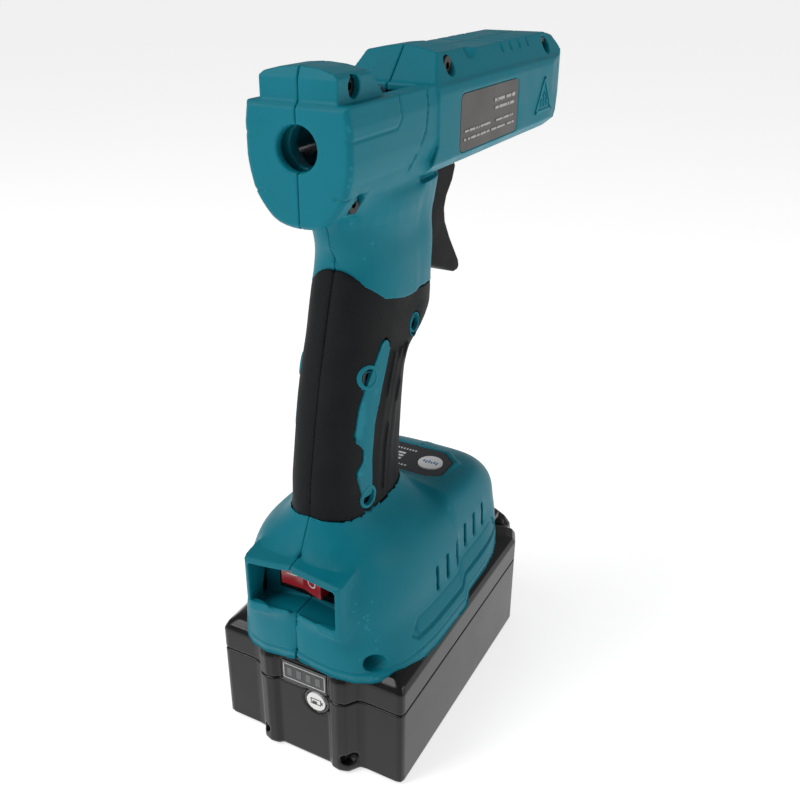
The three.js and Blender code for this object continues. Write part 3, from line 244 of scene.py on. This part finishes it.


# teal_housing and battery_plastic get a painted highlight that makes their sharp edges paler.
MATERIALS = {
    "teal_housing": moulded("teal_housing", (0.0, 0.158, 0.212), 0.45, 0.55, 0.035, 0.5, 0.05, edge_highlight=0.25,
                            specular=0.14),
    "black_rubber": moulded("black_rubber", (0.0045, 0.0052, 0.006), 0.62, 0.45, 0.12, 1.0, 0.4,
      specular=0.14),
    "black_plastic": moulded("black_plastic", (0.0028, 0.003, 0.0034), 0.55, 0.6, 0.03, 0.4, 0.2,
      specular=0.08),
    "battery_plastic": moulded("battery_plastic", (0.0045, 0.0046, 0.005), 0.2, 0.8, 0.008, 0.2, 0.2,
      edge_highlight=0.2,
                               specular=0.3, spread=0.05),
    "latch_plastic": moulded("latch_plastic", (0.02, 0.021, 0.022), 0.45, 0.5, 0.03, 0.5, 0.1),
    "white_plastic": moulded("white_plastic", (0.74, 0.74, 0.73), 0.4, 0.5, 0.02, 0.3, 0.03),
    "red_plastic": moulded("red_plastic", (0.30, 0.01, 0.016), 0.22, 0.6, 0.01, 0.2, 0.08, coat=0.4),
    "plate_film": moulded("plate_film", (0.052, 0.047, 0.042), 0.36, 0.35, 0.012, 0.5, 0.12, specular=0.35),
    "panel_film": moulded("panel_film", (0.018, 0.02, 0.023), 0.34, 0.35, 0.012, 0.4, 0.15, specular=0.35),
    "label_film": moulded("label_film", (0.006, 0.006, 0.0065), 0.22, 0.5, 0.008, 0.3, 0.2, coat=0.3),
    "steel": turned_metal("steel", (0.42, 0.42, 0.43), 0.3),
    "screw_steel": moulded("screw_steel", (0.012, 0.012, 0.013), 0.35, 0.3, 0.01, 0.4, 0.2, metallic=0.6),
    "aluminium": moulded("aluminium", (0.62, 0.63, 0.65), 0.4, 0.4, 0.03, 0.5, 0.08, metallic=1.0),
    "brass": turned_metal("brass", (0.66, 0.45, 0.18), 0.24),
    "silicone": moulded("silicone", (0.33, 0.05, 0.03), 0.5, 0.8, 0.02, 0.3, 0.08),
    "ceramic": moulded("ceramic", (0.72, 0.67, 0.55), 0.8, 0.4, 0.04, 0.6, 0.08),
    "circuit_board": moulded("circuit_board", (0.01, 0.11, 0.04), 0.3, 0.8, 0.02, 0.3, 0.15, coat=0.3),
    "cell_sleeve": moulded("cell_sleeve", (0.02, 0.09, 0.26), 0.3, 2.0, 0.01, 0.2, 0.1, coat=0.3),
    "print_white": moulded("print_white", (0.55, 0.55, 0.54), 0.5, 0.3, 0.01, 0.3, 0.06),
    "print_blue": moulded("print_blue", (0.02, 0.17, 0.42), 0.5, 0.3, 0.01, 0.3, 0.06),
    "led_window": moulded("led_window", (0.075, 0.08, 0.085), 0.3, 0.4, 0.02, 0.3, 0.1, coat=0.3),
}


# ---------------------------------------------------------------- mesh helpers
def loose_copy(node):
    """A closed copy of a CAD node's mesh with its shared corners merged."""
    bm = bmesh.new()
    bm.from_mesh(frame["nodes"][node].data)
    bmesh.ops.remove_doubles(bm, verts=bm.verts, dist=1e-6)
    mesh = bpy.data.meshes.new(node + "_copy")
    bm.to_mesh(mesh)
    bm.free()
    return mesh


def applied(obj):
    """The object's mesh with its modifiers applied, and no modifiers left."""
    graph = bpy.context.evaluated_depsgraph_get()
    mesh = bpy.data.meshes.new_from_object(obj.evaluated_get(graph))
    obj.modifiers.clear()
    old = obj.data
    obj.data = mesh
    bpy.data.meshes.remove(old)
    return obj


def coordinates(mesh):
    co = np.zeros(len(mesh.vertices) * 3)
    mesh.vertices.foreach_get("co", co)
    return co.reshape(-1, 3)


def set_coordinates(mesh, co):
    mesh.vertices.foreach_set("co", co.ravel())
    mesh.update()


def normals_of(mesh):
    n = np.zeros(len(mesh.vertices) * 3)
    mesh.vertex_normals.foreach_get("vector", n)
    return n.reshape(-1, 3)


class Relaxer:
    """Evens out a mesh by moving each point towards the mean of its neighbours."""

    def __init__(self, mesh):
        edges = np.zeros(len(mesh.edges) * 2, int)
        mesh.edges.foreach_get("vertices", edges)
        edges = edges.reshape(-1, 2)
        self.a = np.concatenate([edges[:, 0], edges[:, 1]])
        self.b = np.concatenate([edges[:, 1], edges[:, 0]])
        self.n = len(mesh.vertices)
        self.count = np.bincount(self.a, minlength=self.n).clip(1)

    def mean(self, values):
        if values.ndim == 1:
            return np.bincount(self.a, values[self.b], self.n) / self.count
        return np.stack([np.bincount(self.a, values[self.b, k], self.n) / self.count for k in range(3)], 1)

    def relax(self, co, rounds, weight=1.0, keep_volume=True):
        w = weight if np.isscalar(weight) else weight[:, None]
        for _ in range(rounds):
            co = co + 0.5 * w * (self.mean(co) - co)
            if keep_volume:
                co = co - 0.52 * w * (self.mean(co) - co)
        return co

    def shrink_mask(self, mask, rings):
        """1 where a point and everything within that many edges of it is in the mask, falling softly."""
        m = mask.astype(float)
        for _ in range(rings):
            low = m.copy()
            np.minimum.at(low, self.a, m[self.b])
            m = low
        for _ in range(3):
            m = np.minimum(m, self.mean(m))
        return m


def soften_edges(obj, width, angle):
    """Rounds the edges that turn by more than the angle, in degrees."""
    bevel = obj.modifiers.new("bevel", "BEVEL")
    bevel.width = width * MM
    bevel.segments = 2
    bevel.limit_method = "ANGLE"
    bevel.angle_limit = math.radians(angle)


def finish_piece(obj, name, body, slot, nodes=(), angle=None):
    """Names a piece, gives it its material and shading, ties it to its body and hides the CAD nodes it
    replaces.
    """
    obj.name = name
    obj.data.name = name
    obj.data.materials.append(MATERIALS[slot])
    obj.data.shade_smooth()
    if angle:
        obj.data.set_sharp_from_angle(angle=math.radians(angle))
    if nodes:
        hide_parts(*nodes)
    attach(obj, body)
    return obj


SKIN_EDGE_RINGS = 4
node_slot = {s["node"]: s["material_slot"] for s in frame["record"]["subparts"]}
node_body = {n: b for b, ns in frame["record"]["behaviour"]["bodies"].items() for n in ns}


def refined(node, voxel=0.5, rounds=4, skin=None, skin_rounds=60, shape=None):
    """A dense rounded version of a CAD node. skin(co) marks curved faces to smooth; shape(co, n) moves
    points."""
    obj = link(loose_copy(node), node + "_body")
    remesh = obj.modifiers.new("remesh", "REMESH")
    remesh.mode = "VOXEL"
    remesh.voxel_size = voxel * MM
    applied(obj)
    mesh = obj.data
    co = coordinates(mesh)
    relaxer = Relaxer(mesh)
    co = relaxer.relax(co, rounds)
    if skin is not None:
        weight = relaxer.shrink_mask(skin(co / MM), SKIN_EDGE_RINGS)
        co = relaxer.relax(co, skin_rounds, weight, keep_volume=False)
    set_coordinates(mesh, co)
    if shape is not None:
        co = co + shape(co / MM, normals_of(mesh)) * MM
        set_coordinates(mesh, co)
    return finish_piece(obj, node + "_body", node_body[node], node_slot[node], (node,))


def straight(z, stops):
    """The value at each height, on straight lines between the stops (height, value)."""
    zs, vs = zip(*stops)
    return np.interp(z, zs, vs)


# ---------------------------------------------------------------- curved faces of the housing
# The grip's rear, front and half width by height; the foot's rear, front, half width and two corner powers.
REAR = [(86, -50), (94.4, -47.4), (104, -46.6), (122, -42.9), (139, -38.9), (156, -34), (172, -28.5),
  (176, -31.2),
        (182, -32.6), (190, -37)]
FRONT = [(86, -2.4), (94.4, -1.4), (108, -1.4), (122, 0.2), (132, 1.6), (138, 5.4), (144, 12.4), (148, 16.4),
         (156, 17), (190, 18)]
HALF = [(86, 13.2), (104, 13.3), (122, 13.3), (156, 13.4), (172, 13.6), (176, 12.6), (182, 13.4), (190, 15)]
FOOT = [(45.3, -59, 48.4, 35.8, 3.4, 3.6), (49, -59, 48.4, 34.4, 3.4, 3.8), (54, -59, 48.4, 32.9, 3.3, 4.2),
        (58.4, -59, 48.4, 31.9, 3.2, 5), (59.2, -58.2, 47.6, 31, 3.2, 5), (70, -57.4, 46.4, 30.3, 3.4, 5),
        (75, -56.2, 43.6, 29.2, 3.4, 4.6), (79, -55.2, 39.2, 27.8, 3.4, 4.4),
          (81.4, -54.4, 32.6, 26.6, 3.3, 4.4),
        (82.6, -54, 22, 25.8, 3.2, 4), (84, -53.4, 5.4, 24.6, 3, 3), (86, -52.4, 2.4, 22.6, 2.8, 2.8),
        (88, -51.4, 0.6, 20.4, 2.7, 2.7), (90, -50.2, -0.4, 17.8, 2.6, 2.6), (92.4, -48.8, -1, 15, 2.5, 2.5),
        (95, -47.6, -1.6, 13.2, 2.5, 2.5)]


def reach(co, rear, front, half, power, front_power):
    """How far out each point lies on its level's outline: 1 is on it."""
    u = (co[:, 0] - (rear + front) / 2) / ((front - rear) / 2)
    v = co[:, 1] / half
    n = np.where(u > 0, front_power, power)
    return (np.abs(u) ** n + np.abs(v) ** n) ** (1 / n)


def grip_reach(co):
    z = co[:, 2]
    return reach(co, straight(z, REAR), straight(z, FRONT), straight(z, HALF),
                 np.where((z > 174) & (z < 188), 2.2, 2.5), np.where(z > 142, 4, 2.5))


def foot_reach(co):
    z = co[:, 2]
    return reach(co, *[straight(z, [(row[0], row[k]) for row in FOOT]) for k in range(1, 6)])


def on_grip(co, low, high):
    z = co[:, 2]
    r = grip_reach(co)
    return (z > low) & (z < high) & (r > 0.925) & (r < 1.05)


def on_foot(co):
    z = co[:, 2]
    r = foot_reach(co)
    top = (z > 80) & (r > 0.93)
    return (z > 46.4) & (z < 95) & (((r > 0.955) & (r < 1.05)) | (top & (r < 1.07)))


HEAD_SKIN = [(184.6, 0), (186.2, 7), (192, 12.6), (197, 14.8), (203, 15.8)]


def on_head(co):
    x, y, z = co.T
    return (x > -44.4) & (x < 2) & (z < 203.5) & (z > 184) & (np.abs(y) > straight(z, HEAD_SKIN))


def housing_skin(co):
    return on_grip(co, 95, 183) | on_foot(co) | on_head(co)


def soft_step(v, edge, width):
    """Rises smoothly from 0 to 1 over the given width, with one half at the edge."""
    t = np.clip((v - edge) / width + 0.5, 0, 1)
    return t * t * (3 - 2 * t)


def inside(x, z, outline, width=0.5):
    """1 inside a convex outline listed anticlockwise, falling to 0 across its edge."""
    value = np.ones(len(x))
    for (xa, za), (xb, zb) in zip(outline, outline[1:] + outline[:1]):
        length = math.hypot(xb - xa, zb - za)
        value = np.minimum(value, soft_step(((xb - xa) * (z - za) - (zb - za) * (x - xa)) / length, 0,
          width))
    return value


def along(x, z, line, width):
    """1 on a line of points, falling to one half at half the width."""
    far = np.full(len(x), 1e3)
    for (xa, za), (xb, zb) in zip(line, line[1:]):
        dx, dz = xb - xa, zb - za
        t = np.clip(((x - xa) * dx + (z - za) * dz) / (dx * dx + dz * dz), 0, 1)
        far = np.minimum(far, np.hypot(x - xa - t * dx, z - za - t * dz))
    return soft_step(-far, -width / 2, width * 0.6)


def round_curve(points, steps):
    """A smooth line through the points."""
    pts = [points[0], *points, points[-1]]
    made = []
    for a, b, c, d in zip(pts, pts[1:], pts[2:], pts[3:]):
        for i in range(steps):
            t = i / steps
            made.append(tuple(0.5 * (2 * q + (r - p) * t + (2 * p - 5 * q + 4 * r - s) * t * t
                                     + (3 * q - p - 3 * r + s) * t ** 3) for p, q, r, s in zip(a, b, c, d)))
    return [*made, points[-1]]


HEAD_AXIS_Z = 206
HEAD_LINE = [(0, 184.6), (8, 186.2), (13.4, 192), (15.4, 197), (16.5, 203), (16.5, 208)]


def polar(points):
    """Angles and distances of points (y, z) about the head's axis."""
    a = np.array([math.atan2(y, HEAD_AXIS_Z - z) for y, z in points])
    r = np.array([math.hypot(y, HEAD_AXIS_Z - z) for y, z in points])
    return a, r


def rounder_head(co):
    """Moves the head's lower half from its straight-sided section to the curve through the same corners."""
    x, y, z = co.T
    fine = [(a[0] + (b[0] - a[0]) * k / 12, a[1] + (b[1] - a[1]) * k / 12)
            for a, b in zip(HEAD_LINE, HEAD_LINE[1:]) for k in range(12)]
    ends = [(-8, 186.2), *HEAD_LINE]
    curve = [p for p in round_curve(ends, 12) if p[0] >= 0]
    angle = np.arctan2(np.abs(y), HEAD_AXIS_Z - z)
    flat = np.interp(angle, *polar(fine))
    smooth = np.interp(angle, *polar(curve))
    part = np.hypot(y, z - HEAD_AXIS_Z) / flat
    weight = soft_step(part, 0.6, 0.5) * soft_step(-z, -203, 3) * soft_step(-x, 1, 5)
    grow = 1 + (smooth / flat - 1) * weight
    return np.stack([np.zeros(len(x)), y * (grow - 1), (z - HEAD_AXIS_Z) * (grow - 1)], 1)


BAND = [(-37.5, 55.0), (-34.5, 52.4), (34, 51.2), (36, 53), (31, 58.3), (-32.5, 59.2)]
BAND_LEDGE = [(-34.2, 55.2), (-33, 53.6), (32.6, 52.4), (33.6, 53.4), (30, 56.9), (-31.4, 57.7)]
RIM_LINES = ([(-37.5, 49.2), (-2.5, 48.6)], [(-1.5, 48.2), (27, 48), (33, 49.6)])
RIM_DEPTH = 0.35
RIM_WIDTH = 0.8
REAR_RIM_Z = 49.1
LEFT_SQUEEZE = 0.075
SEAM_SHIFT = 0.11


def seam_shift(y):
    """Moves both halves' edges towards the centre plane, so that the seam is narrow."""
    return -soft_step(-np.abs(y), -1.0, 0.9) * SEAM_SHIFT * np.sign(y)


def housing_details(co, n):
    """The foot's sunk band, its rim lines and under chamfer, the narrow seam and the rounder head."""
    x, y, z = co.T
    r = foot_reach(co)
    side = np.abs(y)
    outer = (r > 0.95) & (r < 1.06) & (z < 61) & (side > 19)
    flank = outer * np.clip(np.abs(n[:, 1]) * 1.6, 0, 1)
    depth = inside(x, z, BAND) * flank
    ledge = inside(x, z, BAND_LEDGE) * flank
    depth -= ledge * np.interp(z, [52.5, 57.8], [0.85, 0.1])
    ring = (r > 0.95) & (z < 53)
    for line in RIM_LINES:
        depth += RIM_DEPTH * along(x, z, line, RIM_WIDTH) * flank
    rear_line = soft_step(-np.abs(z - REAR_RIM_Z), -RIM_WIDTH / 2, RIM_WIDTH * 0.6)
    depth += RIM_DEPTH * ring * rear_line * soft_step(-x, 38, 1)
    outward = np.stack([n[:, 0], n[:, 1], np.zeros(len(x))], 1)
    under = np.where((z < 48.6) & (r > 0.93), (48.6 - z) * 0.3, 0) * (r < 1.06)
    move = -outward * (depth + under)[:, None]
    squeeze = np.where(y > 0, y * LEFT_SQUEEZE, 0) * soft_step(-z, -53, 12) * (r > 0.5)
    move[:, 1] += seam_shift(y) - squeeze
    return move + rounder_head(co)


def grip_details(co, n):
    """Lets the rubber's lower edge reach down onto the foot's collar."""
    z = co[:, 2]
    low = soft_step(-z, -95.6, 1.6)
    move = n * (0.3 * low)[:, None]
    move[:, 2] -= 0.9 * low
    move[:, 1] += seam_shift(co[:, 1])
    return move


# ---------------------------------------------------------------- thin pieces, rings and marks
DRAPE_CELL = 2.0
DRAPE_BEVEL = 0.25


def cuts_between(values):
    return np.arange(min(values) + DRAPE_CELL, max(values), DRAPE_CELL)


def draped(name, outline, surface, lift, depth, slot, body, sign):
    """A thin piece with the outline (x, z) that lies on the curved face |y| = surface(x, z)."""
    bm = bmesh.new()
    face = bm.faces.new([bm.verts.new((px, 0, pz)) for px, pz in outline])
    xs, zs = zip(*outline)
    for axis, values in ((0, cuts_between(xs)), (2, cuts_between(zs))):
        for v in values:
            spot = [0, 0, 0]
            spot[axis] = v
            normal = [0, 0, 0]
            normal[axis] = 1
            bmesh.ops.bisect_plane(bm, geom=bm.verts[:] + bm.edges[:] + bm.faces[:], plane_co=spot,
              plane_no=normal)
    made = bmesh.ops.extrude_face_region(bm, geom=bm.faces[:])
    top = {v for v in made["geom"] if isinstance(v, bmesh.types.BMVert)}
    for v in bm.verts:
        level = lift if v in top else -depth
        v.co.y = sign * (surface(v.co.x, v.co.z) + level)
    bmesh.ops.recalc_face_normals(bm, faces=bm.faces[:])
    bmesh.ops.scale(bm, verts=bm.verts[:], vec=(MM, MM, MM))
    mesh = bpy.data.meshes.new(name)
    bm.to_mesh(mesh)
    bm.free()
    obj = link(mesh, name)
    soften_edges(obj, DRAPE_BEVEL, 55)
    return finish_piece(obj, name, body, slot, angle=40)


def grip_surface(x, z):
    """Half the grip's width at (x, z)."""
    rear, front, half = (np.interp(z, *zip(*line)) for line in (REAR, FRONT, HALF))
    u = (x - (rear + front) / 2) / ((front - rear) / 2)
    n = 4 if z > 142 and u > 0 else 2.5
    return half * max(0.05, 1 - abs(u) ** n) ** (1 / n)


def rounded(points, radius, steps=4):
    """The closed outline with its corners rounded."""
    made = []
    for i, (x, z) in enumerate(points):
        for j in (i - 1, (i + 1) % len(points)):
            px, pz = points[j]
            length = math.hypot(px - x, pz - z)
            k = min(radius, length * 0.45) / length
            made.append((x + (px - x) * k, z + (pz - z) * k))
    out = []
    for i in range(0, len(made), 2):
        (ax, az), (bx, bz) = made[i], made[i + 1]
        cx, cz = points[i // 2]
        for k in range(steps + 1):
            t = k / steps
            out.append(((1 - t) ** 2 * ax + 2 * t * (1 - t) * cx + t * t * bx,
                        (1 - t) ** 2 * az + 2 * t * (1 - t) * cz + t * t * bz))
    return out


def ring_piece(name, cx, cz, inner, outer, surface, lift, slot, body, sign, segments=40):
    """A rounded ring that lies on the curved face |y| = surface(x, z)."""
    profile = [(inner, -1.2), (inner, lift - 0.15), (inner + 0.12, lift), (outer - 0.2, lift),
      (outer, lift - 0.2),
               (outer, -1.2)]
    bm = bmesh.new()
    rows = []
    for i in range(segments):
        a = 2 * math.pi * i / segments
        rows.append([])
        for radius, level in profile:
            x, z = cx + radius * math.cos(a), cz + radius * math.sin(a)
            rows[-1].append(bm.verts.new((x * MM, sign * (surface(x, z) + level) * MM, z * MM)))
    for i in range(segments):
        for k in range(len(profile)):
            m = (k + 1) % len(profile)
            bm.faces.new((rows[i][k], rows[i][m], rows[(i + 1) % segments][m], rows[(i + 1) % segments][k]))
    bmesh.ops.recalc_face_normals(bm, faces=bm.faces[:])
    mesh = bpy.data.meshes.new(name)
    bm.to_mesh(mesh)
    bm.free()
    return finish_piece(link(mesh, name), name, body, slot, angle=40)


def marks(name, boxes, slot, body, bevel=0.05):
    """Small printed or moulded marks: each box is a centre and three half-axes."""
    bm = bmesh.new()
    for centre, u, v, w in boxes:
        bm_box = bmesh.ops.create_cube(bm, size=2)
        turn = Matrix(((u[0], v[0], w[0], centre[0]), (u[1], v[1], w[1], centre[1]),
          (u[2], v[2], w[2], centre[2]),
                       (0, 0, 0, 1)))
        bmesh.ops.transform(bm, matrix=turn, verts=bm_box["verts"])
    bmesh.ops.recalc_face_normals(bm, faces=bm.faces[:])
    bmesh.ops.scale(bm, verts=bm.verts[:], vec=(MM, MM, MM))
    bmesh.ops.bevel(bm, geom=bm.edges[:], offset=bevel * MM, segments=2, affect="EDGES")
    mesh = bpy.data.meshes.new(name)
    bm.to_mesh(mesh)
    bm.free()
    return finish_piece(link(mesh, name), name, body, slot, angle=40)


def flat_box(x, y, z, hx, hy, hz):
    """A level box for marks, by its centre and half sizes."""
    return (x, y, z), (hx, 0, 0), (0, hy, 0), (0, 0, hz)


# ---------------------------------------------------------------- the scene
make_camera()
make_floor()
make_world()
make_lights()

for side in ("right", "left"):
    refined(f"{side}_housing", 0.42, 2, housing_skin, 240, housing_details)
    refined(f"{side}_grip", 0.33, 3, lambda co: on_grip(co, 88, 175), 80, grip_details)
refined("battery_case", 0.5, 5)
refined("battery_lid", 0.45, 6)
refined("trigger", 0.4, 6)

INLAY = [(-35.0, 97.6), (-30.8, 97.6), (-30.5, 110), (-28.5, 122), (-25, 132), (-19.2, 144.6),
  (-20.7, 146.6),
         (-22.8, 145.9), (-27.4, 140), (-31.9, 133.5), (-34.4, 128.4), (-36.8, 119.3), (-34, 115.9),
           (-34.3, 110.8),
         (-37.4, 107.6)]
for side, sign in (("right", -1), ("left", 1)):
    draped(f"{side}_inlay", rounded(INLAY, 1.6), grip_surface, 0.12, 0.9, "teal_housing", "housing", sign)
    for k, (cx, cz) in enumerate(((-2.6, 146), (-29.9, 137.1), (-32.6, 97))):
        outer, lift = (3.9, 0.3) if k else (3.3, 0.05)
        ring_piece(f"{side}_grip_ring_{k}", cx, cz, 2.75, outer, grip_surface, lift, "teal_housing",
          "housing", sign)

# Charge label: a frame, four windows and a pictogram on the round button.
LABEL_X = -55.2
LABEL_Z = 35.3
frame_bars = [flat_box(LABEL_X, -0.3, z, 0.12, 8.1, 0.16) for z in (32.3, 38.3)]
frame_bars += [flat_box(LABEL_X, y, LABEL_Z, 0.12, 0.16, 3.1) for y in (7.7, -8.3)]
marks("charge_frame", frame_bars, "print_white", "pack")
marks("charge_windows", [flat_box(LABEL_X, y, LABEL_Z, 0.14, 1.0, 1.8) for y in (5.4, 1.7, -2.0, -5.7)],
  "led_window",
      "pack", 0.1)
CHECK_X, CHECK_Y, CHECK_Z = -55.7, -5.0, 27.0
icon = [flat_box(CHECK_X, CHECK_Y, CHECK_Z + dz, 0.1, 1.9, 0.16) for dz in (-1.05, 1.05)]
icon += [flat_box(CHECK_X, CHECK_Y + dy, CHECK_Z, 0.1, 0.16, 1.2) for dy in (-1.9, 1.9)]
icon += [flat_box(CHECK_X, CHECK_Y - 2.35, CHECK_Z, 0.1, 0.3, 0.5)]
icon += [flat_box(CHECK_X, CHECK_Y + 0.5, CHECK_Z - 0.35, 0.1, 0.9, 0.5)]
marks("charge_icon", icon, "label_film", "charge_button")

# Panel: three windows, dashes and a mark on the mode button.
PANEL_Z = 83.15
MODE_Z = 83.52
MODE_MARKS = 6
panel = [flat_box(15.4 + 2.1 * k, 2.4, PANEL_Z, 0.55, 1.5, 0.1) for k in range(3)]
panel += [flat_box(11.6, 6.2 - 1.3 * k, PANEL_Z, 0.45, 0.35, 0.1) for k in range(8)]
panel += [flat_box(22.8, 5.4 - 1.2 * k, PANEL_Z, 0.5, 0.3, 0.1) for k in range(7)]
marks("panel_marks", panel, "print_white", "housing")
mode = []
for k in range(MODE_MARKS):
    mark_x = 17.4 + (0.25 if k % 2 else -0.15)
    mark_y = -10.4 + 1.05 * (k - (MODE_MARKS - 1) / 2)
    mode.append(flat_box(mark_x, mark_y, MODE_Z, 0.9 - 0.12 * (k % 3), 0.3, 0.06))
marks("mode_mark", mode, "print_blue", "mode_button")

# Rating plates: rows of dashes. A row is its start, its end and its height as shares of the plate, and its
# dashes'
# half height.
BARREL_HALF = 17.0
PLATE_X, PLATE_LONG = 20.6, 46.8
PLATE_TOP, PLATE_TALL = 212.6, 16.8
DASH_STEP = 0.0155
GAP_SHARE = 0.16
HEAT_MARK = [(86.5, 198.6), (102.5, 198.6), (94.5, 210.2)]
PLATE_ROWS = ((0.56, 0.95, 0.26, 0.62), (0.56, 0.95, 0.41, 0.62), (0.06, 0.50, 0.66, 0.42),
  (0.60, 0.93, 0.66, 0.42),
              (0.05, 0.48, 0.81, 0.42), (0.52, 0.95, 0.81, 0.42))
rng = np.random.default_rng(7)
for side, sign in (("right", -1), ("left", 1)):
    ticks = []
    for u0, u1, v, tall in PLATE_ROWS:
        at = u0
        while at < u1 - 0.01:
            if rng.random() > GAP_SHARE:
                high = tall * rng.uniform(0.65, 1.0)
                x = PLATE_X + PLATE_LONG * (at if sign < 0 else 1 - at)
                ticks.append(flat_box(x, sign * BARREL_HALF, PLATE_TOP - PLATE_TALL * v, 0.22, 0.1, high))
            at += DASH_STEP
    marks(f"{side}_plate_print", ticks, "print_white", "housing", 0.03)
    bars = []
    for (xa, za), (xb, zb) in zip(HEAT_MARK, HEAT_MARK[1:] + HEAT_MARK[:1]):
        half = math.hypot(xb - xa, zb - za) / 2
        dx, dz = (xb - xa) / half / 2, (zb - za) / half / 2
        middle = ((xa + xb) / 2, sign * BARREL_HALF, (za + zb) / 2)
        bars.append((middle, (dx * (half + 0.5), 0, dz * (half + 0.5)), (0, 0.4, 0),
          (-dz * 0.55, 0, dx * 0.55)))
    for k in range(3):
        for m in range(5):
            wave = 91.6 + 2.9 * k + 0.35 * (-1) ** m
            bars.append(flat_box(wave, sign * BARREL_HALF, 200.8 + 1.05 * m, 0.3, 0.3, 0.62))
    marks(f"{side}_heat_mark", bars, "teal_housing", "housing", 0.12)


RING_MARKS = 20


def rocker_marks():
    """A dash on one half of the rocker's face and a ring on the other."""
    mesh = frame["nodes"]["rocker"].data
    halves = {}
    for face in mesh.polygons:
        if face.normal.x < -0.9 and face.area > 2e-6:
            key = 1 if face.normal.y > 0 else -1
            total, spot, normal = halves.get(key, (0, Vector(), Vector()))
            halves[key] = (total + face.area, spot + face.center * face.area,
              normal + face.normal * face.area)
    for key, (total, spot, normal) in halves.items():
        centre = spot / total / MM
        out = normal.normalized()
        across = Vector((0, 0, 1)).cross(out).normalized()
        up = Vector((0, 0, 1))
        if key < 0:
            items = [(centre, out * 0.1, across * 2.0, up * 0.25)]
        else:
            items = []
            for k in range(RING_MARKS):
                a = 2 * math.pi * k / RING_MARKS
                radial = across * math.cos(a) + up * math.sin(a)
                items.append((centre + radial * 1.6, out * 0.1, radial * 0.22, radial.cross(out) * 0.3))
        marks(f"rocker_mark_{'a' if key < 0 else 'b'}", items, "print_white", "rocker", 0.04)


rocker_marks()

for node, obj in frame["nodes"].items():
    if obj.hide_render:
        continue
    obj.data.materials.clear()
    obj.data.materials.append(MATERIALS[node_slot[node]])
    soften_edges(obj, 0.15, 40)
